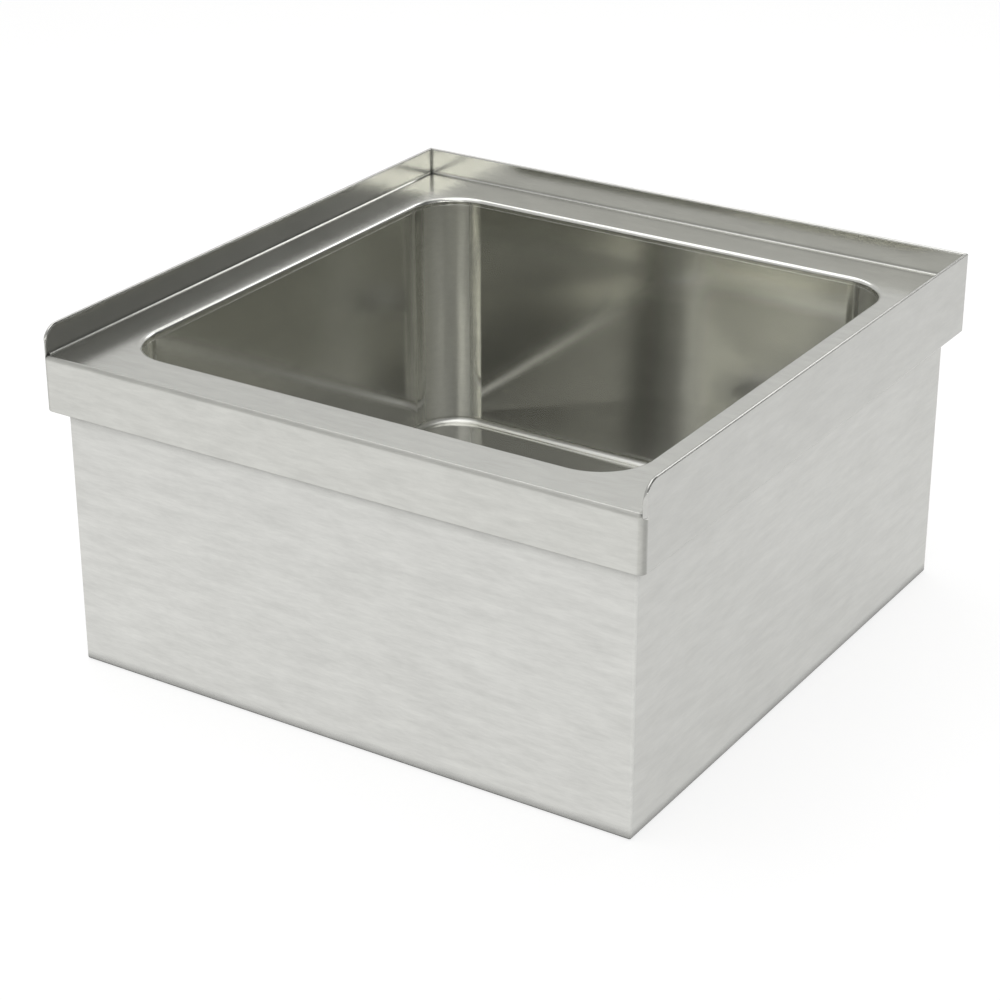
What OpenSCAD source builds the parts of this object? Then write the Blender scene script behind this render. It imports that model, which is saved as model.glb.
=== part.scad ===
// Floor-standing mop service sink of folded stainless sheet.
// A deep square bowl hangs from a deck that is turned up at the back and both sides and turned down at
// the front. A box of skirt panels carries it. The drain, with a lift-out strainer, sits in the bowl floor.
// X runs across the front, Y to the back, Z up. The origin is on the floor, under the middle of the rim.

/* [Rim] */
// Width over the side plates
rim_w = 635; // [620:1:720]
// Depth from the lip's face to the back plate
rim_d = 640; // [628:1:720]
// Height of the upstands above the deck
upstand_h = 27.5; // [26:0.5:60]
// Depth of the lip and of the rim plates below the deck
lip_h = 55; // [30:1:90]
// Height of the fold on the inside of their bottom edge
hem_h = 12; // [6:0.5:24]
// Radius of the round front end of the side upstands
upstand_r = 19; // [10:0.5:24]
// Outer radius of the bend from deck to lip
lip_bend_r = 4; // [2:0.25:6]
// Outer radius of the vertical corners at the ends of the lip
lip_corner_r = 7; // [6.5:0.5:12]
// Radius of the hollow bend from deck to upstand
upstand_bend_r = 2; // [1:0.25:4]
// Thickness of the stainless sheet
sheet_t = 1.6; // [1.2:0.1:2]

/* [Bowl] */
// Width of the bowl inside
bowl_w = 534; // [460:1:538]
// Depth of the bowl inside, front to back
bowl_d = 534; // [460:1:536]
// Height from the bowl floor's edge to the deck
bowl_h = 260; // [200:1:320]
// Distance from the lip's face to the bowl
front_margin = 50.5; // [46:0.5:53]
// Radius of the bowl's upright corners
bowl_r = 50.8; // [30:0.1:70]
// Radius of the cove round the bowl floor
cove_r = 7; // [4:0.5:20]
// Radius of the rolled edge from deck to bowl
edge_r = 4; // [2.5:0.25:6]
// Depth of the down-turned collar that the bowl is welded to
collar_h = 7; // [6.5:0.5:14]
// Fall of the bowl floor from its edge to the drain
floor_fall = 5; // [2:0.5:8]
// Height of the bowl floor's edge above the ground
floor_z = 51.5; // [50:0.5:90]

/* [Base] */
// Set-back of the front panel behind the lip's face
inset_front = 6; // [5:0.5:14]
// Set-back of the left panel
inset_left = 22.3; // [6:0.1:30]
// Set-back of the right panel
inset_right = 8.7; // [6:0.1:30]
// Set-back of the back panel
inset_back = 27.4; // [6:0.1:33]
// Outer radius of the base's upright corners
base_corner_r = 2.4; // [2.2:0.1:6]
// Width of the foot turned in at the bottom of each panel
foot_w = 18; // [12:1:40]
// Width of the flange turned in under the deck
top_flange_w = 14; // [8:0.5:15]
// Leg of the angles inside the corners
angle_leg = 20; // [12:1:30]

/* [Bowl supports] */
// Distance between the middles of the two channels
support_spacing = 300; // [260:1:380]
// Width of a channel's top
support_w = 40; // [30:1:60]
// Width of each channel foot
support_foot = 14; // [8:1:24]
// Thickness of the rubber strip on each channel
support_pad_t = 3; // [1.5:0.5:5]
// Length of the rubber strip on each channel
support_pad_l = 400; // [200:5:440]
// Width of a sound pad on the bowl's wall
sound_pad_w = 240; // [100:5:300]
// Height of a sound pad
sound_pad_h = 130; // [60:5:150]
// Thickness of a sound pad
sound_pad_t = 3; // [1.5:0.5:5]

/* [Drain] */
// Radius of the drain's flange
flange_r = 57; // [52:0.5:62]
// Thickness of the drain's flange
flange_t = 2; // [1.5:0.1:3]
// Thickness of the seal under the flange
seal_t = 1; // [0.6:0.1:2]
// Depth of the recess that takes the flange
recess_h = 3.5; // [2.5:0.1:5]
// Outer radius of the drain's barrel
barrel_r = 43.5; // [42:0.5:46]
// Wall of the barrel
barrel_wall = 2.5; // [2:0.1:3.5]
// Depth of the barrel's thread
thread_h = 0.8; // [0.4:0.1:1.2]
// Pitch of the barrel's thread
thread_pitch = 2.4; // [1.8:0.1:3.2]
// Radius of the throat that the stopper closes
throat_r = 24; // [18:0.5:26]
// Outer radius of the waste spigot, two inch pipe size
spigot_r = 30.15; // [29:0.05:33]
// Wall of the waste spigot
spigot_wall = 2.5; // [2:0.1:3]
// Length of the waste spigot
spigot_l = 14; // [12:0.5:15]
// Height of the spigot's end above the ground
spigot_z = 6; // [3:0.5:8]
// Thickness of the gasket under the bowl floor
gasket_t = 3; // [2:0.25:4]
// Thickness of the friction ring
friction_t = 1; // [0.6:0.1:1.5]
// Height of the locknut
nut_h = 8; // [6:0.5:9]
// Number of lugs on the locknut
nut_lugs = 8; // [4:1:12]

/* [Strainer] */
// Outer radius of the basket
basket_r = 37; // [34:0.5:38]
// Depth of the basket inside
basket_h = 13; // [11:0.5:13.5]
// Thickness of the basket's sheet
basket_t = 1; // [0.8:0.1:1.2]
// Width of the basket's rim
basket_rim_w = 5; // [4.5:0.1:6]
// Radius of a strainer hole
hole_r = 2.2; // [1.5:0.1:2.4]
// Radius of the stopper's post
post_r = 3; // [2.5:0.1:4]
// Running clearance round the post
post_gap = 0.05; // [0.02:0.01:0.1]
// Radius of the pull knob
knob_r = 9; // [7:0.5:12]
// Rise of the stopper from shut to open
stopper_rise = 5; // [3:0.25:5]
// Thickness of the stopper's rubber disc
stopper_t = 3; // [2:0.25:3.5]
// How far the stopper's disc overlaps the throat's edge
stopper_lap = 4; // [2:0.5:6]

/* [Hidden] */
$fn = 72;

// Gap between pieces that meet but don't touch
seat_gap = 0.3;
// Extra length of a cutting shape past the surface it cuts
cut = 1;

// Edges of the rim
left_x = -rim_w / 2;
right_x = rim_w / 2;
front_y = -rim_d / 2;
back_y = rim_d / 2;
deck_z = floor_z + bowl_h;
top_z = deck_z + upstand_h;
lip_z = deck_z - lip_h;
// Set-back of the side upstands' front edge behind the lip's face
upstand_front = 1.5;
// Depth of the mitre between the side and back plates, past the doubled sheet
mitre = 3 * sheet_t;

// Bowl
bowl_y = front_y + front_margin + bowl_d / 2;
// Share of a round corner's radius by which its middle lies inside the square corner
corner_share = 1 - sqrt(0.5);
dish_x = bowl_w / 2 - cove_r - (bowl_r - cove_r) * corner_share;
dish_y = bowl_d / 2 - cove_r - (bowl_r - cove_r) * corner_share;
// Gap round the drain's flange and round its barrel
drain_gap = 1.5;
recess_r = flange_r + drain_gap;
seat_z = floor_z - floor_fall * (1 - recess_r / dish_x) - recess_h;
drain_hole_r = barrel_r + drain_gap;

// Edges of the base
base_left = left_x + inset_left;
base_right = right_x - inset_right;
base_front = front_y + inset_front;
base_back = back_y - inset_back;
base_mid_x = (base_left + base_right) / 2;
base_mid_y = (base_front + base_back) / 2;
base_w = base_right - base_left;
base_d = base_back - base_front;
skirt_h = deck_z - sheet_t;
angle_bend_r = 3;

// Supports
support_in = (support_spacing - support_w) / 2;
support_top = floor_z - sheet_t - floor_fall * (1 - support_in / dish_x) - seat_gap - support_pad_t;

// Drain, from the flange down
flange_top = seat_z + seal_t + flange_t;
cup_z = spigot_z + spigot_l;
cup_floor_z = cup_z + barrel_wall;
cup_r = barrel_r - barrel_wall;
gasket_z = seat_z - sheet_t - gasket_t;
friction_z = gasket_z - friction_t;
nut_z = friction_z - nut_h;
throat_ring_w = 2;
throat_ring_h = 0.8;
// Outer radius of the seal, the friction ring and the locknut's lugs
seal_r = flange_r - 1;
nut_wall = 6;
lug_w = 10;
thread_gap = 0.05;

// Strainer and stopper
basket_rim_r = basket_r + basket_rim_w;
ledge_h = basket_t + 2 * seat_gap;
basket_top = flange_top - seat_gap;
basket_floor_z = basket_top - basket_h;
basket_bend_r = 2.5;
hole_pitch = 3 * hole_r;
slot_count = 24;
slot_w = 3;
// Height left between the slots and the bend under the basket's rim
slot_margin = 2;
slot_h = basket_h - 2 * basket_bend_r - slot_margin;
// Outer radius of the bush, the knob's stem and the nut
hub_wall = 2;
hub_r = post_r + hub_wall;
bush_flange_w = 2.5;
bush_flange_r = hub_r + bush_flange_w;
bush_flange_t = 1.5;
bush_gap = 0.1;
shut_z = cup_floor_z + throat_ring_h + seat_gap;
washer_t = 1;
washer_r = 16;
small_washer_r = 10;
stopper_nut_h = 4;
// How far the post stands out under its nut
post_end = 1;
knob_h = 8;
// Gap between the pull knob and the bush when the stopper is shut
knob_gap = 6;
knob_z = basket_floor_z + bush_flange_t + knob_gap;

// ---- Flat shapes ----

// A quarter of a ring round the origin, in the quadrant that sx and sy name
module quarter_ring(r_out, r_in, sx, sy) {
    intersection() {
        difference() {
            circle(r_out);
            circle(r_in);
        }
        translate([sx > 0 ? 0 : -r_out, sy > 0 ? 0 : -r_out])
            square(r_out);
    }
}

// A rectangle with round corners, centred
module round_rect(w, d, r) {
    square([w - 2 * r, d], center = true);
    square([w, d - 2 * r], center = true);
    for (sx = [-1, 1], sy = [-1, 1])
        translate([sx * (w / 2 - r), sy * (d / 2 - r)])
            circle(r);
}

// ---- Sweeps ----

// Sweeps a profile round a rounded rectangle. The profile's x is the distance outward from its side.
module sweep_round(w, d, r) {
    for (turn = [0, 180])
        rotate(turn) {
            translate([w / 2, 0, 0])
                rotate([90, 0, 0])
                    linear_extrude(d - 2 * r, center = true)
                        children();
            rotate(90)
                translate([d / 2, 0, 0])
                    rotate([90, 0, 0])
                        linear_extrude(w - 2 * r, center = true)
                            children();
            translate([w / 2 - r, d / 2 - r, 0])
                rotate_extrude(angle = 90)
                    translate([r, 0])
                        children();
            translate([r - w / 2, d / 2 - r, 0])
                rotate(90)
                    rotate_extrude(angle = 90)
                        translate([r, 0])
                            children();
        }
}

// Extrudes a shape drawn in Y and Z, from x0 along +X
module along_x(x0, length) {
    translate([x0, 0, 0])
        rotate([90, 0, 90])
            linear_extrude(length)
                children();
}

// Extrudes a profile drawn in X and Z, from y0 along +Y
module along_y(y0, length) {
    translate([0, y0 + length, 0])
        rotate([90, 0, 0])
            linear_extrude(length)
                children();
}

// A flat ring lying on z
module ring(r_out, r_in, z, h) {
    translate([0, 0, z])
        difference() {
            cylinder(r = r_out, h = h);
            translate([0, 0, -cut])
                cylinder(r = r_in, h = h + 2 * cut);
        }
}

// ---- Bowl ----

// Wall and cove of the bowl. x = 0 is the wall's inner face, y = 0 the deck's top.
module bowl_profile() {
    translate([0, cove_r - bowl_h])
        square([sheet_t, bowl_h - cove_r - collar_h]);
    translate([-cove_r, cove_r - bowl_h])
        quarter_ring(cove_r + sheet_t, cove_r, 1, -1);
}

// The space that the four sloping faces of the floor enclose under its edge
module dish() {
    intersection() {
        along_y(-dish_y, 2 * dish_y)
            polygon([[-dish_x, 0], [0, -floor_fall], [dish_x, 0]]);
        along_x(-dish_x, 2 * dish_x)
            polygon([[-dish_y, 0], [0, -floor_fall], [dish_y, 0]]);
    }
}

// Floor of the bowl, from z = 0 down, with the recess for the drain's flange
module bowl_floor() {
    seat = seat_z - floor_z;
    difference() {
        union() {
            translate([0, 0, -sheet_t])
                linear_extrude(sheet_t)
                    round_rect(bowl_w - 2 * cove_r, bowl_d - 2 * cove_r, bowl_r - cove_r);
            translate([0, 0, -sheet_t])
                dish();
            translate([0, 0, seat - sheet_t])
                cylinder(r = recess_r + sheet_t, h = -seat);
        }
        dish();
        translate([0, 0, seat])
            cylinder(r = recess_r, h = cut - seat);
        translate([0, 0, seat - sheet_t - cut])
            cylinder(r = drain_hole_r, h = 2 * cut + sheet_t);
    }
}

module bowl() {
    color("silver")
        translate([0, bowl_y, 0]) {
            translate([0, 0, deck_z])
                sweep_round(bowl_w, bowl_d, bowl_r)
                    bowl_profile();
            translate([0, 0, floor_z])
                bowl_floor();
        }
}

// ---- Deck and rim ----

// Fold at the bottom of a plate. The plate's outer face is at x = 0, y = 0 is the fold's lowest line.
module hem_profile() {
    translate([sheet_t, sheet_t])
        intersection() {
            circle(sheet_t);
            translate([-sheet_t, -sheet_t])
                square([2 * sheet_t, sheet_t]);
        }
    translate([sheet_t, sheet_t])
        square([sheet_t, hem_h - sheet_t]);
}

// Round of the fold over the doubled sheet. x = 0 is its outer face, y = 0 the sheets' upper edge.
module fold_profile() {
    translate([sheet_t, 0])
        intersection() {
            circle(sheet_t);
            translate([-sheet_t, 0])
                square([2 * sheet_t, sheet_t]);
        }
}

// Lip from the deck down. x is the distance outward from the middle of the corner, y = 0 the deck's top.
module lip_profile() {
    translate([0, -sheet_t])
        square([lip_corner_r - lip_bend_r, sheet_t]);
    translate([lip_corner_r - lip_bend_r, -lip_bend_r])
        quarter_ring(lip_bend_r, lip_bend_r - sheet_t, 1, 1);
    translate([lip_corner_r - sheet_t, sheet_t - lip_h])
        square([sheet_t, lip_h - sheet_t - lip_bend_r]);
    translate([lip_corner_r, -lip_h])
        mirror([1, 0])
            hem_profile();
}

// The same outline filled in, down to the end of the bend
module lip_fill_profile() {
    translate([0, -lip_bend_r])
        square([lip_corner_r - lip_bend_r, lip_bend_r]);
    translate([lip_corner_r - lip_bend_r, -lip_bend_r])
        quarter_ring(lip_bend_r, 0, 1, 1);
}

// Corner of the lip at its left end
module lip_corner() {
    translate([left_x + lip_corner_r, front_y + lip_corner_r, deck_z])
        rotate(180)
            rotate_extrude(angle = 90)
                children();
}

// Outline of a side upstand's sheet in Y and Z, inside the fold, down to z and back to y
module upstand_outline(z, y) {
    r = upstand_r - sheet_t;
    y0 = front_y + upstand_front + sheet_t;
    z1 = top_z - sheet_t;
    translate([y0 + r, z])
        square([y - y0 - r, z1 - z]);
    translate([y0, z])
        square([2 * r, z1 - r - z]);
    translate([y0 + r, z1 - r])
        circle(r);
}

// The rim's outline from above, with its round front corners
module rim_plan() {
    r = lip_corner_r;
    translate([left_x, front_y + r])
        square([rim_w, rim_d - r]);
    translate([left_x + r, front_y])
        square([rim_w - 2 * r, rim_d]);
    for (x = [left_x + r, right_x - r])
        translate([x, front_y + r])
            circle(r);
}

// Inner sheet of the left upstand, with its hollow bend to the deck
module side_upstand() {
    intersection() {
        along_x(left_x + sheet_t, sheet_t)
            upstand_outline(deck_z - sheet_t, back_y - sheet_t);
        translate([0, 0, deck_z - sheet_t])
            linear_extrude(upstand_h + sheet_t)
                rim_plan();
    }
    along_y(front_y + lip_corner_r, rim_d - lip_corner_r - 2 * sheet_t)
        translate([left_x + 2 * sheet_t, deck_z])
            bend_profile();
}

// Fills the corner between the deck and an upstand with a hollow bend
module bend_profile() {
    difference() {
        square(upstand_bend_r);
        translate([upstand_bend_r, upstand_bend_r])
            circle(upstand_bend_r);
    }
}

// Rolled edge of the bowl opening and its collar. x = 0 is the bowl wall's inner face.
module edge_profile() {
    translate([edge_r, -edge_r])
        quarter_ring(edge_r, edge_r - sheet_t, -1, 1);
    translate([0, -collar_h])
        square([sheet_t, collar_h - edge_r]);
}

module deck() {
    plate_y = front_y + lip_corner_r;
    color("gainsboro") {
        translate([0, 0, deck_z - sheet_t])
            linear_extrude(sheet_t)
                difference() {
                    translate([left_x + sheet_t, plate_y])
                        square([rim_w - 2 * sheet_t, back_y - sheet_t - plate_y]);
                    translate([0, bowl_y])
                        round_rect(bowl_w + 2 * edge_r, bowl_d + 2 * edge_r, bowl_r + edge_r);
                }
        translate([0, bowl_y, deck_z])
            sweep_round(bowl_w, bowl_d, bowl_r)
                edge_profile();
        along_x(left_x + lip_corner_r, rim_w - 2 * lip_corner_r)
            translate([plate_y, deck_z])
                mirror([1, 0])
                    lip_profile();
        for (side = [0, 1])
            mirror([side, 0, 0]) {
                difference() {
                    side_upstand();
                    lip_corner()
                        lip_fill_profile();
                }
                lip_corner()
                    lip_profile();
            }
        translate([left_x + sheet_t, back_y - 2 * sheet_t, deck_z - sheet_t])
            cube([rim_w - 2 * sheet_t, sheet_t, upstand_h]);
        along_x(left_x + 2 * sheet_t, rim_w - 4 * sheet_t)
            translate([back_y - 2 * sheet_t, deck_z])
                mirror([1, 0])
                    bend_profile();
    }
}

// Outer plate of the left side with its folds, before the mitre
module side_plate() {
    r = upstand_r - sheet_t;
    arc_y = front_y + upstand_front + upstand_r;
    arc_z = top_z - upstand_r;
    plate_y = front_y + lip_corner_r;
    along_x(left_x, sheet_t)
        upstand_outline(deck_z - lip_bend_r, back_y);
    translate([left_x, plate_y, lip_z + sheet_t])
        cube([sheet_t, back_y - plate_y, lip_h]);
    along_y(plate_y, back_y - plate_y)
        translate([left_x, lip_z])
            hem_profile();
    along_y(arc_y, back_y - arc_y)
        translate([left_x, top_z - sheet_t])
            fold_profile();
    translate([left_x, arc_y, arc_z])
        rotate([0, -90, 0])
            rotate_extrude(angle = -90)
                translate([r, 0])
                    rotate(-90)
                        fold_profile();
    translate([left_x, front_y + upstand_front + sheet_t, deck_z - lip_bend_r])
        linear_extrude(arc_z - deck_z + lip_bend_r)
            mirror([0, 1])
                fold_profile();
}

module left_rim() {
    color("lightgray")
        difference() {
            intersection() {
                side_plate();
                translate([0, 0, lip_z])
                    linear_extrude(top_z - lip_z)
                        intersection() {
                            rim_plan();
                            polygon([[left_x, front_y], [left_x + mitre, front_y],
                                     [left_x + mitre, back_y - mitre], [left_x, back_y]]);
                        }
            }
            lip_corner()
                lip_fill_profile();
        }
}

module right_rim() {
    mirror([1, 0, 0])
        left_rim();
}

module back_rim() {
    color("lightgray")
        intersection() {
            union() {
                translate([left_x, back_y - sheet_t, lip_z + sheet_t])
                    cube([rim_w, sheet_t, top_z - lip_z - 2 * sheet_t]);
                along_x(left_x, rim_w)
                    translate([back_y, lip_z])
                        mirror([1, 0])
                            hem_profile();
                along_x(left_x, rim_w)
                    translate([back_y, top_z - sheet_t])
                        mirror([1, 0])
                            fold_profile();
            }
            translate([0, 0, lip_z])
                linear_extrude(top_z - lip_z)
                    polygon([[left_x, back_y], [right_x, back_y],
                             [right_x - mitre, back_y - mitre], [left_x + mitre, back_y - mitre]]);
        }
}

// ---- Base ----

// Wall of a skirt panel with its two bends. x is the distance inward from its face, less the bend.
module wall_profile() {
    r = base_corner_r;
    translate([-r, r])
        square([sheet_t, skirt_h - 2 * r]);
    translate([0, r])
        quarter_ring(r, r - sheet_t, -1, -1);
    translate([0, skirt_h - r])
        quarter_ring(r, r - sheet_t, -1, 1);
}

// A skirt panel along X, its face at y = 0 and its flanges towards +Y. trim shortens the flanges,
// so that they end at the flanges of the panels beside it.
module panel(length, trim) {
    r = base_corner_r;
    foot_l = length - trim * 2 * (foot_w - r);
    flange_l = length - trim * 2 * (top_flange_w - r);
    along_x(-length / 2, length)
        translate([r, 0])
            wall_profile();
    translate([-foot_l / 2, r, 0])
        cube([foot_l, foot_w - r, sheet_t]);
    translate([-flange_l / 2, r, skirt_h - sheet_t])
        cube([flange_l, top_flange_w - r, sheet_t]);
}

// A panel whose ends turn the corners of the base
module corner_panel() {
    r = base_corner_r;
    panel(base_w - 2 * r, 0);
    for (side = [0, 1])
        mirror([side, 0, 0])
            translate([base_w / 2 - r, r, 0])
                rotate(-90)
                    rotate_extrude(angle = 90)
                        mirror([1, 0])
                            wall_profile();
}

module front_skirt() {
    color("gainsboro")
        translate([base_mid_x, base_front, 0])
            corner_panel();
}

module back_skirt() {
    color("gainsboro")
        translate([base_mid_x, base_back, 0])
            rotate(180)
                corner_panel();
}

module left_skirt() {
    color("lightgray")
        translate([base_left, base_mid_y, 0])
            rotate(-90)
                panel(base_d - 2 * base_corner_r, 1);
}

module right_skirt() {
    color("lightgray")
        translate([base_right, base_mid_y, 0])
            rotate(90)
                panel(base_d - 2 * base_corner_r, 1);
}

// One upright angle whose outer corner is at the origin
module corner_angle() {
    r = angle_bend_r;
    linear_extrude(skirt_h - 2 * base_corner_r) {
        translate([r, r])
            quarter_ring(r, r - sheet_t, -1, -1);
        translate([r, 0])
            square([angle_leg - r, sheet_t]);
        translate([0, r])
            square([sheet_t, angle_leg - r]);
    }
}

module corner_angles() {
    color("darkgray")
        for (sx = [0, 1], sy = [0, 1])
            translate([base_mid_x, base_mid_y, base_corner_r])
                mirror([sx, 0, 0])
                    mirror([0, sy, 0])
                        translate([sheet_t - base_w / 2, sheet_t - base_d / 2, 0])
                            corner_angle();
}

// ---- Bowl supports and pads ----

// Section of a channel in X and Z
module channel_profile() {
    w = support_w / 2;
    translate([-w, support_top - sheet_t])
        square([support_w, sheet_t]);
    for (side = [0, 1])
        mirror([side, 0]) {
            translate([w - sheet_t, sheet_t])
                square([sheet_t, support_top - 2 * sheet_t]);
            translate([w - sheet_t, sheet_t])
                square([support_foot + sheet_t, sheet_t]);
        }
}

module bowl_supports() {
    color("darkgray")
        for (side = [-1, 1])
            translate([side * support_spacing / 2, 0, 0])
                along_y(base_front + base_corner_r, base_d - 2 * base_corner_r)
                    channel_profile();
}

module support_pads() {
    color("dimgray")
        for (side = [-1, 1])
            translate([side * support_spacing / 2 - support_w / 2, bowl_y - support_pad_l / 2, support_top])
                cube([support_w, support_pad_l, support_pad_t]);
}

// Four pads, one on the middle of each bowl wall
module sound_pads() {
    color("dimgray")
        translate([0, bowl_y, floor_z + (bowl_h - sound_pad_h) / 2])
            for (turn = [0 : 90 : 270]) {
                reach = turn % 180 == 0 ? bowl_w / 2 : bowl_d / 2;
                rotate(turn)
                    translate([reach + sheet_t, -sound_pad_w / 2, 0])
                        cube([sound_pad_t, sound_pad_w, sound_pad_h]);
            }
}

// ---- Drain ----

// Places a piece on the drain's axis
module at_drain() {
    translate([0, bowl_y, 0])
        children();
}

// Half section of the drain's body, in radius and height
module drain_profile() {
    ledge_z = flange_top - ledge_h;
    difference() {
        union() {
            translate([0, seat_z + seal_t])
                square([flange_r, flange_t]);
            translate([0, cup_z])
                square([barrel_r, seat_z + seal_t - cup_z]);
            translate([0, spigot_z])
                square([spigot_r, spigot_l]);
        }
        translate([0, ledge_z])
            square([basket_rim_r + seat_gap, ledge_h + cut]);
        translate([0, cup_floor_z])
            square([cup_r, flange_top - cup_floor_z]);
        translate([0, spigot_z - cut])
            square([throat_r, flange_top]);
        translate([0, spigot_z - cut])
            square([spigot_r - spigot_wall, spigot_l + cut]);
        for (z = [cup_floor_z + thread_pitch : thread_pitch : gasket_z - thread_pitch])
            translate([barrel_r, z])
                polygon([[-thread_h, 0], [cut, -thread_pitch / 2], [cut, thread_pitch / 2]]);
    }
    translate([throat_r, cup_floor_z])
        square([throat_ring_w, throat_ring_h]);
}

module drain_body() {
    color("silver")
        at_drain()
            rotate_extrude()
                drain_profile();
}

module flange_seal() {
    color("dimgray")
        at_drain()
            ring(seal_r, drain_hole_r, seat_z, seal_t);
}

module drain_gasket() {
    color("dimgray")
        at_drain()
            ring(flange_r, drain_hole_r, gasket_z, gasket_t);
}

module friction_ring() {
    color("tan")
        at_drain()
            ring(seal_r, drain_hole_r, friction_z, friction_t);
}

module drain_locknut() {
    color("darkgray")
        at_drain()
            translate([0, 0, nut_z])
                linear_extrude(nut_h)
                    difference() {
                        union() {
                            circle(barrel_r + nut_wall);
                            for (i = [0 : nut_lugs - 1])
                                rotate(i * 360 / nut_lugs)
                                    translate([barrel_r, -lug_w / 2])
                                        square([seal_r - barrel_r, lug_w]);
                        }
                        circle(barrel_r + thread_gap);
                    }
}

// ---- Strainer ----

// Half section of the basket, in radius and height
module basket_profile() {
    r = basket_bend_r;
    translate([basket_r + r - basket_t, basket_top - basket_t])
        square([basket_rim_w - r + basket_t, basket_t]);
    translate([basket_r + r - basket_t, basket_top - r])
        quarter_ring(r, r - basket_t, -1, 1);
    translate([basket_r - basket_t, basket_floor_z - basket_t + r])
        square([basket_t, basket_h + basket_t - 2 * r]);
    translate([basket_r - r, basket_floor_z - basket_t + r])
        quarter_ring(r, r - basket_t, 1, -1);
    translate([hub_r + bush_gap, basket_floor_z - basket_t])
        square([basket_r - r - hub_r - bush_gap, basket_t]);
}

// Rings of round holes in the basket's floor
module floor_holes() {
    first = bush_flange_r + 2 * hole_r;
    last = basket_r - basket_bend_r - hole_pitch / 2;
    for (radius = [first : hole_pitch : last]) {
        count = floor(2 * PI * radius / hole_pitch);
        for (i = [0 : count - 1])
            rotate(i * 360 / count)
                translate([radius, 0, basket_floor_z - basket_t - cut])
                    cylinder(r = hole_r, h = basket_t + 2 * cut, $fn = 24);
    }
}

// Upright slots in the basket's wall
module wall_slots() {
    for (i = [0 : slot_count - 1])
        rotate(i * 360 / slot_count)
            translate([basket_r - basket_t - cut, -slot_w / 2, basket_floor_z + basket_bend_r])
                cube([basket_t + 2 * cut, slot_w, slot_h]);
}

module strainer_basket() {
    color("silver")
        at_drain()
            difference() {
                rotate_extrude()
                    basket_profile();
                floor_holes();
                wall_slots();
            }
}

module hub_bush() {
    color("ivory")
        at_drain()
            difference() {
                union() {
                    translate([0, 0, basket_floor_z - basket_t])
                        cylinder(r = hub_r, h = basket_t);
                    translate([0, 0, basket_floor_z])
                        cylinder(r = bush_flange_r, h = bush_flange_t);
                }
                translate([0, 0, basket_floor_z - basket_t - cut])
                    cylinder(r = post_r + post_gap, h = basket_t + bush_flange_t + 2 * cut);
            }
}

module stopper_post() {
    bottom = shut_z - washer_t - stopper_nut_h - post_end;
    color("silver")
        at_drain()
            translate([0, 0, bottom])
                cylinder(r = post_r, h = knob_z + knob_h / 2 - bottom);
}

// Mushroom knob with a socket for the post
module pull_knob() {
    color("silver")
        at_drain()
            rotate_extrude()
                difference() {
                    union() {
                        translate([0, knob_z])
                            square([hub_r, knob_h / 2]);
                        intersection() {
                            translate([0, knob_z + knob_h / 2])
                                square([knob_r, knob_h / 2]);
                            translate([0, knob_z + knob_h - 2 * knob_r])
                                circle(2 * knob_r);
                        }
                    }
                    translate([0, knob_z - cut])
                        square([post_r, knob_h / 2 + cut]);
                    translate([-2 * knob_r, knob_z - cut])
                        square([2 * knob_r, knob_h + 2 * cut]);
                }
}

module stopper_seal() {
    color("dimgray")
        at_drain()
            ring(throat_r + stopper_lap, post_r, shut_z, stopper_t);
}

// A wide washer above the rubber disc and a small one below it
module stopper_washer() {
    color("silver")
        at_drain() {
            ring(washer_r, post_r, shut_z + stopper_t, washer_t);
            ring(small_washer_r, post_r, shut_z - washer_t, washer_t);
        }
}

module stopper_nut() {
    color("silver")
        at_drain()
            translate([0, 0, shut_z - washer_t - stopper_nut_h])
                difference() {
                    cylinder(r = hub_r / cos(30), h = stopper_nut_h, $fn = 6);
                    translate([0, 0, -cut])
                        cylinder(r = post_r, h = stopper_nut_h + 2 * cut);
                }
}

bowl();
deck();
left_rim();
right_rim();
back_rim();
front_skirt();
left_skirt();
right_skirt();
back_skirt();
corner_angles();
bowl_supports();
support_pads();
sound_pads();
drain_body();
flange_seal();
drain_gasket();
friction_ring();
drain_locknut();
strainer_basket();
hub_bush();
stopper_post();
pull_knob();
stopper_seal();
stopper_washer();
stopper_nut();
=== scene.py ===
# %% [markdown]
# # A mop service sink in folded stainless steel
#
# The sheet parts, the drain and the strainer come from a construction model with every piece at its real
# size. This lesson gives them their finish. Everything is in metres: X runs along the front lip, Y goes
# back to the wall and Z is up. The model is loaded first.

# %% Load the construction model
import math

import bpy
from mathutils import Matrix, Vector


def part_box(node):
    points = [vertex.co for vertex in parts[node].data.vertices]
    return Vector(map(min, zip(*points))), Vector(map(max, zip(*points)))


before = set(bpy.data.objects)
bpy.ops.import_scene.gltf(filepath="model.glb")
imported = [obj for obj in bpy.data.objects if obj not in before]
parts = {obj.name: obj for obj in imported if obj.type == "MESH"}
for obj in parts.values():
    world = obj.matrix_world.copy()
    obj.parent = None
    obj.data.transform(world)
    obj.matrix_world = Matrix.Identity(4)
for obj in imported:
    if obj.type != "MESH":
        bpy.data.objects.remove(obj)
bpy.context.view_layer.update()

# %% [markdown]
# ## The camera
#
# A long lens stands to the right of the front and looks down at the sink. The place, the two angles and the
# focal length were found by lining up the straight edges of rim and base. Turning the camera about X tips
# it up from looking straight down, and turning it about Z then swings it towards the left.

# %% Camera
camera_place = (1.2355, -1.9742, 1.2177)
look_down = math.radians(25.27)
swing_left = math.radians(32.52)
focal_length = 94.36

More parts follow.
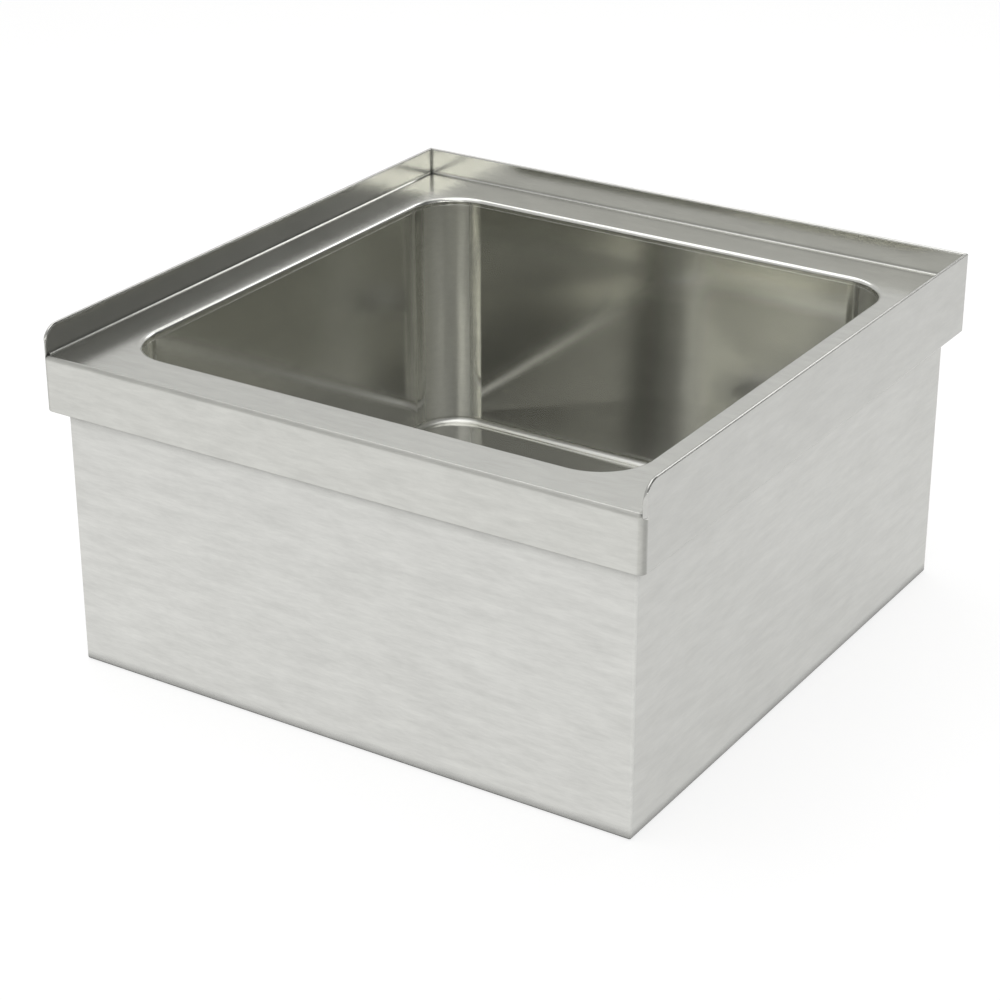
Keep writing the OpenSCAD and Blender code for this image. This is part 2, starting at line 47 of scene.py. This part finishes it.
camera_data = bpy.data.cameras.new("camera")
camera_data.lens = focal_length
camera_data.sensor_width = 36
camera = bpy.data.objects.new("camera", camera_data)
camera.location = camera_place
camera.rotation_euler = (math.pi / 2 - look_down, 0, swing_left)
bpy.context.scene.collection.objects.link(camera)
bpy.context.scene.camera = camera
bpy.context.scene.view_settings.view_transform = "Standard"
print("camera at", camera_place, "with a lens of", focal_length, "mm")

# %% [markdown]
# The bowl is a box of mirrors. Towards its far corner a line of sight meets four, five or more walls before
# it leaves through the opening. Cycles stops at four by itself, and that corner would turn black, so light
# may bounce more often here.

# %% Mirror bounces
wall_bounces = 8
bpy.context.scene.cycles.glossy_bounces = wall_bounces
print("bounces between the bowl's walls:", wall_bounces)

# %% [markdown]
# ## Helpers for node trees
#
# Every finish here is a small network of nodes. The first helper adds a node and fills its inputs, where a
# value is either a plain number or the output of another node. The other two start a material and link its
# last shader.

# %% Helpers for nodes
def add_node(tree, kind, inputs=None, **settings):
    """Adds a shader node, sets its options, and fills or links its inputs."""
    made = tree.nodes.new("ShaderNode" + kind)
    for name, value in settings.items():
        setattr(made, name, value)
    for name, value in (inputs or {}).items():
        if isinstance(value, bpy.types.NodeSocket):
            tree.links.new(value, made.inputs[name])
        else:
            made.inputs[name].default_value = value
    return made


def new_material(name):
    """An empty material and its node tree."""
    material = bpy.data.materials.new(name)
    material.use_nodes = True
    material.node_tree.nodes.clear()
    return material, material.node_tree


def close_material(tree, shader):
    """Links the last shader to the material's output."""
    output = add_node(tree, "OutputMaterial")
    tree.links.new(shader.outputs[0], output.inputs["Surface"])

# %% [markdown]
# ## The studio
#
# Steel shows what is around it, so the room matters as much as the lamps. Flat steel walls at right angles
# send every line of sight out in one of four directions. So the room is pale all round, with one dim screen
# behind the sink on the right and another beside the camera. The first makes the left upstand and the
# bowl's back wall dark, and the second the coves along its floor. A narrow window next to the first screen
# brightens the right end of the back wall, and so does a low, wide one on the camera's side, whose light
# gets there after five bounces. The room's whole right side is a little dimmer too, and the first screen
# has a small gap in it. The room could also be a picture wrapped round the scene, but screens of plain tone
# can be moved and dimmed one by one.
#
# A screen's five numbers are its left and right bearing, its bottom and top height and the softness of its
# edges, all in degrees. Bearings are counted from the back towards the right.

# %% Room light
room_tone = (0.66, 0.66, 0.655, 1)
side_tone = (0.35, 0.35, 0.345, 1)
back_screen_tone = (0.135, 0.135, 0.132, 1)
window_tone = (3.0, 2.98, 2.9, 1)
camera_screen_tone = (0.33, 0.33, 0.325, 1)
low_window_tone = (3.5, 3.48, 3.38, 1)

side_wall = (45, 150, -30, 62, 8)
back_screen = (28, 80, -30, 60, 1.6)
gap_in_screen = (24, 34, 24, 29, 1.6)
window = (22.2, 25.5, 16, 30, 0.8)
camera_screen = (126, 151.5, -30, 38, 2)
low_window = (108, 168, 11, 19.5, 1.0)

# %% [markdown]
# Each edge of a screen is a soft step along one direction. The cosine between a line of sight and that
# direction rises as the line turns towards it, and four such steps, multiplied, make a screen.

# %% An empty sky and a helper for soft edges
world = bpy.data.worlds.new("studio")
bpy.context.scene.world = world
world.use_nodes = True
sky = world.node_tree
sky.nodes.clear()
direction = add_node(sky, "TexCoord").outputs["Generated"]


def soft_edge(towards, start, end):
    """Rises from 0 to 1 as a line of sight turns towards a direction. start and end are in degrees."""
    share = add_node(sky, "VectorMath", {0: direction, 1: towards}, operation="DOT_PRODUCT")
    rise = add_node(
        sky, "MapRange",
        {"Value": share.outputs["Value"], "From Min": math.sin(math.radians(start)),
         "From Max": math.sin(math.radians(end))},
        interpolation_type="SMOOTHSTEP",
    )
    return rise.outputs["Result"]


def level_direction(bearing):
    """A level direction. Its bearing is counted from the back towards the right, in degrees."""
    return (math.sin(math.radians(bearing)), math.cos(math.radians(bearing)), 0)


# %% Helpers for screens
def screen(left, right, bottom, top, softness):
    """The share of a screen between two bearings and two heights, all in degrees."""
    edges = [
        soft_edge(level_direction(left + 90), -softness, softness),
        soft_edge(level_direction(right - 90), -softness, softness),
        soft_edge((0, 0, 1), bottom - softness, bottom + softness),
        soft_edge((0, 0, -1), -top - softness, -top + softness),
    ]
    share = edges[0]
    for edge in edges[1:]:
        share = add_node(sky, "Math", {0: share, 1: edge}, operation="MULTIPLY").outputs[0]
    return share


def hang_screen(behind, share, tone):
    """Covers a part of the room with a screen of its own tone."""
    return add_node(sky, "Mix", {"Factor": share, 6: behind, 7: tone}, data_type="RGBA").outputs[2]


# %% Hang the screens, one over the other
room = hang_screen(room_tone, screen(*side_wall), side_tone)
room = hang_screen(room, screen(*back_screen), back_screen_tone)
room = hang_screen(room, screen(*gap_in_screen), room_tone)
room = hang_screen(room, screen(*window), window_tone)
room = hang_screen(room, screen(*camera_screen), camera_screen_tone)
room = hang_screen(room, screen(*low_window), low_window_tone)
background = add_node(sky, "Background", {"Color": room, "Strength": 1.0})
sky_output = add_node(sky, "OutputWorld")
sky.links.new(background.outputs[0], sky_output.inputs["Surface"])
print("room: pale, with a dim side, two screens and two windows")


# %% [markdown]
# Three soft lamps, each a rectangle that shines from one side. The one overhead fills the bowl. The one
# high behind the left corner draws the bright line along the rolled edge at the back. A smaller one behind
# the sink does the same for the folds that run from front to back. A fold mirrors only a narrow slice of
# the room, so the lamp has to stand where that slice is. The lamps are large and mild, so that flat steel
# doesn't turn white.

# %% Lamps
def soft_lamp(name, place, target, width, height, radiance):
    """A rectangular lamp. Its power follows from how bright its face looks."""
    data = bpy.data.lights.new(name, "AREA")
    data.shape = "RECTANGLE"
    data.size = width
    data.size_y = height
    data.energy = radiance * math.pi * width * height
    lamp = bpy.data.objects.new(name, data)
    lamp.location = place
    aim = Vector(target) - Vector(place)
    lamp.rotation_euler = aim.to_track_quat("-Z", "Y").to_euler()
    lamp.visible_camera = False
    bpy.context.scene.collection.objects.link(lamp)
    print("lamp:", name, "of", width, "by", height, "m")


sink_middle = (0, 0, 0.2)
soft_lamp("overhead_lamp", (-0.1, -0.3, 2.0), sink_middle, 1.7, 1.45, 1.2)
soft_lamp("corner_lamp", (-0.95, 0.85, 2.0), sink_middle, 1.4, 0.85, 1.4)
soft_lamp("fold_lamp", (0.14, 1.55, 1.53), sink_middle, 0.85, 0.6, 1.8)

# %% [markdown]
# The floor is a wide pale disc. The part of its brightness that the camera and the steel see is added
# through the light path, so that the floor shows white while the lamps stay gentle on the sink, and the
# shadow under the sink stays in it.

# %% Floor
floor_radius = 9
floor_drop = 0.0004
floor_corners = 96
floor_tone = (0.3, 0.3, 0.3, 1)
floor_glow = 0.79

bpy.ops.object.select_all(action="DESELECT")
bpy.ops.mesh.primitive_circle_add(vertices=floor_corners, radius=floor_radius, fill_type="NGON",
                                  location=(0, 0, -floor_drop))
floor = bpy.context.object
floor.name = "floor"
floor_paint, tree = new_material("floor_paint")
path = add_node(tree, "LightPath")
seen = add_node(tree, "Math", {0: path.outputs["Is Camera Ray"], 1: path.outputs["Is Glossy Ray"]})
seen = add_node(tree, "Math", {0: seen.outputs[0], 1: path.outputs["Is Transmission Ray"]}, use_clamp=True)
glow = add_node(tree, "Math", {0: seen.outputs[0], 1: floor_glow}, operation="MULTIPLY")
paint = add_node(tree, "BsdfDiffuse", {"Color": floor_tone})
glow_shader = add_node(tree, "Emission", {"Color": (1, 1, 1, 1), "Strength": glow.outputs[0]})
close_material(tree, add_node(tree, "AddShader", {0: paint.outputs[0], 1: glow_shader.outputs[0]}))
floor.data.materials.append(floor_paint)
print("floor: a disc", 2 * floor_radius, "m across")


# %% [markdown]
# ## Effects that several finishes share
#
# Scratches, wiped patches, worn edges with a painted highlight and painted shade in bends turn up in many
# finishes, so each is a node group that is made once. The first helper makes a group with named sockets,
# and the second puts it into a material.

# %% Helpers for node groups
def group_tree(name, inputs, outputs):
    """A node group with named sockets. An input is (name, kind, value); an output is (name, kind)."""
    group = bpy.data.node_groups.new(name, "ShaderNodeTree")
    for label, kind, value in inputs:
        socket = group.interface.new_socket(name=label, in_out="INPUT", socket_type="NodeSocket" + kind)
        if value is not None:
            socket.default_value = value
    for label, kind in outputs:
        group.interface.new_socket(name=label, in_out="OUTPUT", socket_type="NodeSocket" + kind)
    start = group.nodes.new("NodeGroupInput").outputs
    end = group.nodes.new("NodeGroupOutput").inputs
    return group, start, end


def place_group(tree, group, inputs):
    """Puts a node group into a material."""
    return add_node(tree, "Group", inputs, node_tree=group).outputs


# %% [markdown]
# Brushed steel has fine parallel scratches. A noise that is stretched along one axis gives them: short and
# thin for the scratches, longer and wider for the faint bands that a belt sander leaves.

# %% Brushed grain
band_scale = 0.25

grain_group, start, end = group_tree(
    "brushed_grain",
    [("Vector", "Vector", None), ("Length", "Float", 0.014), ("Width", "Float", 0.0019)],
    [("Scratches", "Float"), ("Bands", "Float")],
)
split = add_node(grain_group, "SeparateXYZ", {0: start["Vector"]})
along = add_node(grain_group, "Math", {0: split.outputs[0], 1: start["Length"]}, operation="DIVIDE")
across = add_node(grain_group, "Math", {0: split.outputs[1], 1: start["Width"]}, operation="DIVIDE")
upward = add_node(grain_group, "Math", {0: split.outputs[2], 1: start["Width"]}, operation="DIVIDE")
stretched = add_node(
    grain_group, "CombineXYZ", {0: along.outputs[0], 1: across.outputs[0], 2: upward.outputs[0]}
)
scratches = add_node(
    grain_group, "TexNoise", {"Vector": stretched.outputs[0], "Scale": 1.0, "Detail": 4.0, "Roughness": 0.6}
)
bands = add_node(
    grain_group, "TexNoise",
    {"Vector": stretched.outputs[0], "Scale": band_scale, "Detail": 1.0, "Roughness": 0.5}
)
grain_group.links.new(scratches.outputs[0], end["Scratches"])
grain_group.links.new(bands.outputs[0], end["Bands"])
print("made the group", grain_group.name)

# %% [markdown]
# Handled steel is cleaner in some places than in others. A slow noise stands for wiped patches, and small
# round cells for dried water spots. Both change how rough the surface is more than its colour.

# %% Wiped patches and water spots
spot_cells = 9.0
spot_inside, spot_outside = 0.10, 0.22

wiped_group, start, end = group_tree(
    "wiped_patches",
    [("Vector", "Vector", None), ("Size", "Float", 0.12)],
    [("Patches", "Float"), ("Spots", "Float")],
)
scaled = add_node(wiped_group, "VectorMath", {0: start["Vector"]}, operation="DIVIDE")
size_vector = add_node(
    wiped_group, "CombineXYZ", {0: start["Size"], 1: start["Size"], 2: start["Size"]}
)
wiped_group.links.new(size_vector.outputs[0], scaled.inputs[1])
patches = add_node(
    wiped_group, "TexNoise", {"Vector": scaled.outputs[0], "Scale": 1.0, "Detail": 4.0, "Roughness": 0.55}
)
cells = add_node(wiped_group, "TexVoronoi", {"Vector": scaled.outputs[0], "Scale": spot_cells})
spots = add_node(
    wiped_group, "MapRange",
    {"Value": cells.outputs["Distance"], "From Min": spot_inside, "From Max": spot_outside,
     "To Min": 1.0, "To Max": 0.0},
)
wiped_group.links.new(patches.outputs[0], end["Patches"])
wiped_group.links.new(spots.outputs[0], end["Spots"])
print("made the group", wiped_group.name)

# %% [markdown]
# No folded edge is perfectly sharp. The Bevel node gives the surface's direction as if its edges were
# rounded. Where that differs from the true direction there is an edge, and there the tone is brightened:
# partly wear, partly a painted highlight. Inside a hollow bend, and close under another part, the tone is
# darkened instead as painted shade. Ambient occlusion over a few millimetres finds such places, and takes
# the bright edge away from them.

# %% Worn edges with a painted highlight, and painted shade in bends
edge_seen_at, edge_full_at = 0.995, 0.85
painted_shade_seen_at, painted_shade_full_at = 0.88, 0.55

edge_group, start, end = group_tree(
    "worn_edge_highlight_and_bend_shade",
    [("Radius", "Float", 0.0006), ("Reach", "Float", 0.003)],
    [("Edge", "Float"), ("Painted_shade", "Float"), ("Rounded", "Vector")],
)
rounded = add_node(edge_group, "Bevel", {"Radius": start["Radius"]}, samples=4)
true_side = add_node(edge_group, "NewGeometry")
agreement = add_node(
    edge_group, "VectorMath", {0: rounded.outputs[0], 1: true_side.outputs["Normal"]}, operation="DOT_PRODUCT"
)
# The edge mask brightens the tone there: partly wear, partly a painted highlight.
edge_mask = add_node(
    edge_group, "MapRange",
    {"Value": agreement.outputs["Value"], "From Min": edge_seen_at, "From Max": edge_full_at},
)
# Painted shade: ambient occlusion marks hollow bends and places close under other parts, to be darkened.
openness = add_node(edge_group, "AmbientOcclusion", {"Distance": start["Reach"]}, samples=4)
painted_shade_mask = add_node(
    edge_group, "MapRange",
    {"Value": openness.outputs["AO"], "From Min": painted_shade_seen_at, "From Max": painted_shade_full_at},
)
outer_edge = add_node(
    edge_group, "Math", {0: edge_mask.outputs[0], 1: painted_shade_mask.outputs[0]},
    operation="SUBTRACT", use_clamp=True,
)
edge_group.links.new(outer_edge.outputs[0], end["Edge"])
edge_group.links.new(painted_shade_mask.outputs[0], end["Painted_shade"])
edge_group.links.new(rounded.outputs[0], end["Rounded"])
print("made the group", edge_group.name)


# %% [markdown]
# ## Steel
#
# One function makes every stainless finish. The grain runs along X or Y, or turns with the walls of the
# bowl. Its strength, the roughness and the tone differ: the skirt is coarsely brushed, the deck a smoother
# satin, and the bowl is polished nearly to a mirror. In its rounded corners the polish is duller, because a
# hand pad does the work there that a machine does on the walls.

# %% Grain that turns with the walls, and a mask for bends
grain_turns = {"X": (0, 0, 0), "Y": (0, 0, math.pi / 2)}
side_seen_at, side_full_at = 0.6, 0.8
bend_starts, bend_ends = 0.998, 0.96


def wall_grain(tree, place, inputs):
    """Grain that runs level along each wall: along Y on the side walls and along X elsewhere."""
    side_on = add_node(tree, "SeparateXYZ", {0: add_node(tree, "NewGeometry").outputs["Normal"]})
    sideways = add_node(tree, "Math", {0: side_on.outputs[0]}, operation="ABSOLUTE")
    on_side = add_node(
        tree, "MapRange",
        {"Value": sideways.outputs[0], "From Min": side_seen_at, "From Max": side_full_at})
    turned = add_node(tree, "Mapping", {"Vector": place, "Rotation": grain_turns["Y"]})
    along_x = place_group(tree, grain_group, dict(inputs, Vector=place))
    along_y = place_group(tree, grain_group, dict(inputs, Vector=turned.outputs[0]))
    mixed = {}
    for name in ("Scratches", "Bands"):
        mixed[name] = add_node(
            tree, "Mix", {0: on_side.outputs[0], 2: along_x[name], 3: along_y[name]}).outputs[0]
    return mixed


def bent_share(tree):
    """1 where the sheet is bent, and 0 where it faces straight along an axis."""
    facing = add_node(tree, "VectorMath", {0: add_node(tree, "NewGeometry").outputs["Normal"]},
                      operation="ABSOLUTE")
    axes = add_node(tree, "SeparateXYZ", {0: facing.outputs[0]})
    level = add_node(tree, "Math", {0: axes.outputs[0], 1: axes.outputs[1]}, operation="MAXIMUM")
    straight = add_node(tree, "Math", {0: level.outputs[0], 1: axes.outputs[2]}, operation="MAXIMUM")
    bent = add_node(
        tree, "MapRange", {"Value": straight.outputs[0], "From Min": bend_starts, "From Max": bend_ends})
    return bent.outputs[0]

# %% [markdown]
# The deck's sheet also makes the front lip, which is brushed like the skirt. So the deck's finish changes
# in front of a given depth. The change could be a second material on some of the faces, but the
# construction model's faces stay as they are, and a mask does it just as well. Below the deck the mask
# reaches further back, because the lip's right end is turned round the corner. Where the lip bends it is
# duller, and its tone is darker there as painted shade.

# %% The front lip's part of the deck's finish
grain_low, grain_high = 0.6, 1.4
faces_front_at, faces_away_at = -0.97, -0.6
return_softness = 0.002


def lighten_by_grain(tree, grain_sum, share, contrast):
    """Turns the noise of the grain into a factor for the tone."""
    shade = add_node(
        tree, "MapRange",
        {"Value": grain_sum, "From Min": grain_low, "From Max": grain_high,
         "To Min": share * (1 - contrast), "To Max": share * (1 + contrast)},
    )
    return shade.outputs[0]


def front_mask(tree, place, front):
    """1 on the front lip and 0 on the deck behind it."""
    at = add_node(tree, "SeparateXYZ", {0: place}).outputs
    return_depth = add_node(
        tree, "MapRange",
        {"Value": at[2], "From Min": front["below"], "From Max": front["below"] + return_softness,
         "To Min": -front["return"], "To Max": 0.0})
    depth = add_node(tree, "Math", {0: at[1], 1: return_depth.outputs[0]}, operation="ADD")
    on_front = add_node(
        tree, "MapRange", {"Value": depth.outputs[0], "From Min": front["depth"] + front["blend"],
                           "From Max": front["depth"]})
    return on_front.outputs[0]


def front_finish(tree, place, front, grain_sum, bent, shade, rough, wear_and_highlight):
    """Changes the shade, the roughness and the worn, highlighted edges on the lip, and darkens its bends as
    painted shade.
    """
    on_front = front_mask(tree, place, front)
    front_shade = lighten_by_grain(tree, grain_sum, front["share"], front["contrast"])
    facing = add_node(tree, "SeparateXYZ", {0: add_node(tree, "NewGeometry").outputs["Normal"]})
    # Painted shade: the lip's tone is darker where its face turns away from the front.
    lip_bend_painted_shade = add_node(
        tree, "MapRange", {"Value": facing.outputs[1], "From Min": faces_front_at, "From Max": faces_away_at,
                           "To Min": 1.0, "To Max": front["bend_painted_shade_share"]})
    front_shade = add_node(tree, "Math", {0: front_shade, 1: lip_bend_painted_shade.outputs[0]}, operation="MULTIPLY")
    shade = add_node(tree, "Mix", {0: on_front, 2: shade, 3: front_shade.outputs[0]})
    front_rough = add_node(tree, "Mix", {0: bent, 2: front["roughness"], 3: front["bend_roughness"]})
    rough = add_node(tree, "Mix", {0: on_front, 2: rough, 3: front_rough.outputs[0]})
    wear_and_highlight = add_node(tree, "Math", {0: wear_and_highlight, 1: on_front}, operation="SUBTRACT", use_clamp=True)
    return shade.outputs[0], rough.outputs[0], wear_and_highlight.outputs[0]

# %% [markdown]
# A finish is then put together from its parts. The grain lightens and darkens the tone a little, hollow
# bends get painted shade, edges get a brighter tone that is partly wear and partly a painted highlight,
# the wiped patches and water spots change the roughness, and a low bump lets the scratches catch the light.

# %% Put a stainless finish together
patch_low, patch_high = 0.3, 0.7
painted_shade_share = 0.85
wear_and_highlight_gain, wear_and_highlight_limit, wear_and_highlight_most = 1.25, 0.9, 0.8
scratch_height = 0.0002


def steel(name, tone, grain_along, roughness, scratch_length=0.011, scratch_width=0.0019, scratch_depth=0.1,
          contrast=0.03, rough_contrast=0.08, edge_radius=0.0006, front=None, bend_roughness=None,
          painted_shade_reach=0.003):
    """A stainless finish with brushed grain, wiped patches, worn edges with a painted highlight, and painted
    shade in bends.
    """
    material, tree = new_material(name)
    place = add_node(tree, "TexCoord").outputs["Object"]
    size = {"Length": scratch_length, "Width": scratch_width}
    if grain_along == "walls":
        grain = wall_grain(tree, place, size)
    else:
        turned = add_node(tree, "Mapping", {"Vector": place, "Rotation": grain_turns[grain_along]})
        grain = place_group(tree, grain_group, dict(size, Vector=turned.outputs[0]))
    wiped = place_group(tree, wiped_group, {"Vector": place})
    edge = place_group(tree, edge_group, {"Radius": edge_radius, "Reach": painted_shade_reach})
    both = add_node(tree, "Math", {0: grain["Scratches"], 1: grain["Bands"]})
    shade = lighten_by_grain(tree, both.outputs[0], 1, contrast)
    rough = add_node(
        tree, "MapRange",
        {"Value": wiped["Patches"], "From Min": patch_low, "From Max": patch_high,
         "To Min": roughness - rough_contrast / 2, "To Max": roughness + rough_contrast / 2},
    ).outputs[0]
    bent = bent_share(tree)
    if bend_roughness:
        rough = add_node(tree, "Mix", {0: bent, 2: rough, 3: bend_roughness}).outputs[0]
    wear_and_highlight = edge["Edge"]
    if front:
        shade, rough, wear_and_highlight = front_finish(tree, place, front, both.outputs[0], bent, shade, rough, wear_and_highlight)
    # Painted shade: the tone is darkened in hollow bends and close under other parts.
    dark = add_node(tree, "Math", {0: edge["Painted_shade"], 1: -painted_shade_share, 2: 1.0}, operation="MULTIPLY_ADD")
    shade = add_node(tree, "Math", {0: shade, 1: dark.outputs[0]}, operation="MULTIPLY").outputs[0]
    brushed_tone = add_node(tree, "VectorMath", {0: tone, "Scale": shade}, operation="SCALE")
    # The edges' brighter tone is partly wear and partly a painted highlight.
    wear_and_highlight_tone = tuple(min(wear_and_highlight_limit, v * wear_and_highlight_gain) for v in tone) + (1,)
    wear_and_highlight_share = add_node(tree, "Math", {0: wear_and_highlight, 1: wear_and_highlight_most}, operation="MULTIPLY")
    colour = add_node(
        tree, "Mix", {"Factor": wear_and_highlight_share.outputs[0], 6: brushed_tone.outputs[0], 7: wear_and_highlight_tone},
        data_type="RGBA",
    )
    spotted = add_node(
        tree, "Math", {0: wiped["Spots"], 1: rough_contrast / 4, 2: rough}, operation="MULTIPLY_ADD"
    )
    bump = add_node(
        tree, "Bump",
        {"Strength": scratch_depth, "Distance": scratch_height, "Height": grain["Scratches"],
         "Normal": edge["Rounded"]},
    )
    shader = add_node(
        tree, "BsdfPrincipled",
        {"Base Color": colour.outputs[2], "Metallic": 1.0, "Roughness": spotted.outputs[0],
         "Normal": bump.outputs[0]},
    )
    close_material(tree, shader)
    return material


# %% [markdown]
# The tones and the roughness come last. The sides and the front are one steel. The photograph shows the
# sides darker than this room makes them, so their tones carry a little painted shade. All lengths are in
# metres.

# %% The stainless finishes
# The side tones are the front tones made darker as painted shade.
skirt_tone = (0.65, 0.65, 0.625)
skirt_side_tone_shaded = (0.60, 0.60, 0.577)
rim_tone = (0.60, 0.60, 0.575)
rim_side_tone_shaded = (0.545, 0.545, 0.523)
satin_tone = (0.70, 0.70, 0.665)
bowl_tone = (0.68, 0.68, 0.647)
inner_tone = (0.52, 0.53, 0.53)
drain_tone = (0.68, 0.68, 0.66)
chrome_tone = (0.78, 0.79, 0.80)
lip_reach = 0.003
lip = {"depth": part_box("deck")[0][1] + lip_reach, "blend": 0.0015, "share": 0.87, "contrast": 0.085,
       "roughness": 0.34, "bend_roughness": 0.6, "bend_painted_shade_share": 0.74, "below": 0.305, "return": 0.008}
# Painted shade and shadow: on the skirts the darkening reaches 12 mm, under the lip and along the floor.
finishes = {
    "skirt_along_x": steel("skirt_steel_x", skirt_tone, "X", 0.42, contrast=0.085, rough_contrast=0.05,
                           painted_shade_reach=0.012),
    "skirt_along_y_shaded": steel("skirt_steel_y_painted_shade", skirt_side_tone_shaded, "Y", 0.42, contrast=0.06, rough_contrast=0.05,
                           painted_shade_reach=0.012),
    "rim_along_x": steel("rim_steel_x", rim_tone, "X", 0.36, contrast=0.085, rough_contrast=0.04,
                         bend_roughness=0.2),
    "rim_along_y_shaded": steel("rim_steel_y_painted_shade", rim_side_tone_shaded, "Y", 0.36, contrast=0.06, rough_contrast=0.04,
                         bend_roughness=0.2),
    "deck": steel("deck_steel", satin_tone, "X", 0.19, contrast=0.06, rough_contrast=0.03, front=lip,
                  painted_shade_reach=0.0045),
    "bowl": steel("bowl_steel", bowl_tone, "walls", 0.11, scratch_length=0.03, scratch_width=0.0016,
                  scratch_depth=0.03, contrast=0.05, rough_contrast=0.02, bend_roughness=0.28),
    "inner": steel("inner_steel", inner_tone, "Y", 0.45, scratch_length=0.02, scratch_width=0.0015,
                   contrast=0.2, rough_contrast=0.04),
    "drain": steel("drain_steel", drain_tone, "X", 0.16, scratch_length=0.004, scratch_width=0.0004,
                   scratch_depth=0.04, contrast=0.1, rough_contrast=0.03),
    "chrome": steel("knob_chrome", chrome_tone, "X", 0.07, scratch_length=0.006, scratch_width=0.0003,
                    scratch_depth=0.02, contrast=0.02, rough_contrast=0.04),
}
print("steel finishes:", len(finishes))

# %% [markdown]
# ## Rubber, fibre, brass and nylon
#
# The seals are black rubber with a fine moulded grain and a little pale bloom. The pads on the channels and
# on the bowl are grey and pebbled. The ring under the drain's nut is pressed fibre, the nut is cast brass
# that has darkened in places, and the bush in the strainer's hub is white nylon.

# %% A helper for moulded and cast finishes
bloom_starts, bloom_ends = 0.42, 0.68
speckle_share = 0.25
worn_share = 0.4
patch_roughness = 0.2


def moulded(name, tone, patch_tone, roughness, grain_size, grain_depth, patch_size=0.02, metal=0.0,
            stretch=(1, 1, 1), pebbles=False):
    """A finish with a fine grain in its surface and patches of a second tone."""
    material, tree = new_material(name)
    place = add_node(tree, "TexCoord").outputs["Object"]
    wiped = place_group(tree, wiped_group, {"Vector": place, "Size": patch_size})
    edge = place_group(tree, edge_group, {"Radius": 0.0004})
    scale = tuple(v / grain_size for v in stretch)
    fine_place = add_node(tree, "Mapping", {"Vector": place, "Scale": scale})
    if pebbles:
        cells = add_node(tree, "TexVoronoi", {"Vector": fine_place.outputs[0], "Scale": 1.0},
                         feature="SMOOTH_F1")
        grain = cells.outputs["Distance"]
    else:
        noise = add_node(tree, "TexNoise", {"Vector": fine_place.outputs[0], "Scale": 1.0, "Detail": 3.0})
        grain = noise.outputs[0]
    patch_share = add_node(
        tree, "MapRange", {"Value": wiped["Patches"], "From Min": bloom_starts, "From Max": bloom_ends})
    speckle = add_node(tree, "Math", {0: grain, 1: speckle_share, 2: patch_share.outputs[0]},
                       operation="MULTIPLY_ADD", use_clamp=True)
    worn = add_node(tree, "Math", {0: edge["Edge"], 1: worn_share, 2: speckle.outputs[0]},
                    operation="MULTIPLY_ADD", use_clamp=True)
    colour = add_node(tree, "Mix", {"Factor": worn.outputs[0], 6: tone + (1,), 7: patch_tone + (1,)},
                      data_type="RGBA")
    rough = add_node(
        tree, "Math", {0: wiped["Patches"], 1: patch_roughness, 2: roughness - patch_roughness / 2},
        operation="MULTIPLY_ADD")
    bump = add_node(
        tree, "Bump",
        {"Strength": grain_depth, "Distance": grain_size / 4, "Height": grain, "Normal": edge["Rounded"]},
    )
    shader = add_node(
        tree, "BsdfPrincipled",
        {"Base Color": colour.outputs[2], "Metallic": metal, "Roughness": rough.outputs[0],
         "Normal": bump.outputs[0]},
    )
    close_material(tree, shader)
    return material


# %% Rubber, fibre, brass and nylon
seal_tone, seal_bloom = (0.022, 0.022, 0.023), (0.07, 0.07, 0.068)
pad_tone, pad_bloom = (0.10, 0.10, 0.105), (0.19, 0.19, 0.185)
fibre_tone, fibre_patch = (0.46, 0.33, 0.20), (0.60, 0.47, 0.32)
brass_tone, brass_patch = (0.70, 0.52, 0.25), (0.36, 0.24, 0.12)
nylon_tone, nylon_patch = (0.78, 0.77, 0.73), (0.68, 0.66, 0.60)

finishes["seal"] = moulded("seal_rubber", seal_tone, seal_bloom, roughness=0.55, grain_size=0.0006,
                           grain_depth=0.35)
finishes["pad"] = moulded("pad_rubber", pad_tone, pad_bloom, roughness=0.72, grain_size=0.0018,
                          grain_depth=0.6, pebbles=True)
finishes["fibre"] = moulded("ring_fibre", fibre_tone, fibre_patch, roughness=0.85, grain_size=0.0007,
                            grain_depth=0.5, stretch=(0.25, 1, 1))
finishes["brass"] = moulded("nut_brass", brass_tone, brass_patch, roughness=0.38, grain_size=0.0009,
                            grain_depth=0.3, patch_size=0.03, metal=1.0)
finishes["nylon"] = moulded("bush_plastic", nylon_tone, nylon_patch, roughness=0.4, grain_size=0.0005,
                            grain_depth=0.12)
print("finishes:", len(finishes))

# %% [markdown]
# ## Every part gets its finish
#
# The construction model already has one material slot on each part. Filling the slots keeps its meshes as
# they are. The left and right plates take the finish whose grain runs from front to back and whose tone is
# darkened as painted shade, and the others the one whose grain runs along the lip.

# %% Give every part its finish
part_finish = {
    "bowl": "bowl", "deck": "deck", "left_rim": "rim_along_y_shaded", "right_rim": "rim_along_y_shaded",
    "back_rim": "rim_along_x", "front_skirt": "skirt_along_x", "back_skirt": "skirt_along_x",
    "left_skirt": "skirt_along_y_shaded", "right_skirt": "skirt_along_y_shaded", "corner_angles": "inner",
    "bowl_supports": "inner", "support_pads": "pad", "sound_pads": "pad", "drain_body": "drain",
    "flange_seal": "seal", "drain_gasket": "seal", "friction_ring": "fibre", "drain_locknut": "brass",
    "strainer_basket": "drain", "hub_bush": "nylon", "stopper_post": "drain", "pull_knob": "chrome",
    "stopper_seal": "seal", "stopper_washer": "drain", "stopper_nut": "drain",
}
for part, finish in part_finish.items():
    for slot in parts[part].material_slots:
        slot.material = finishes[finish]
left_over = sorted(set(parts) - set(part_finish))
print("parts with a finish:", len(part_finish), "without:", left_over)

# %% [markdown]
# The parts keep the construction model's meshes, so the sink keeps its size.

# %% The end
print("done")
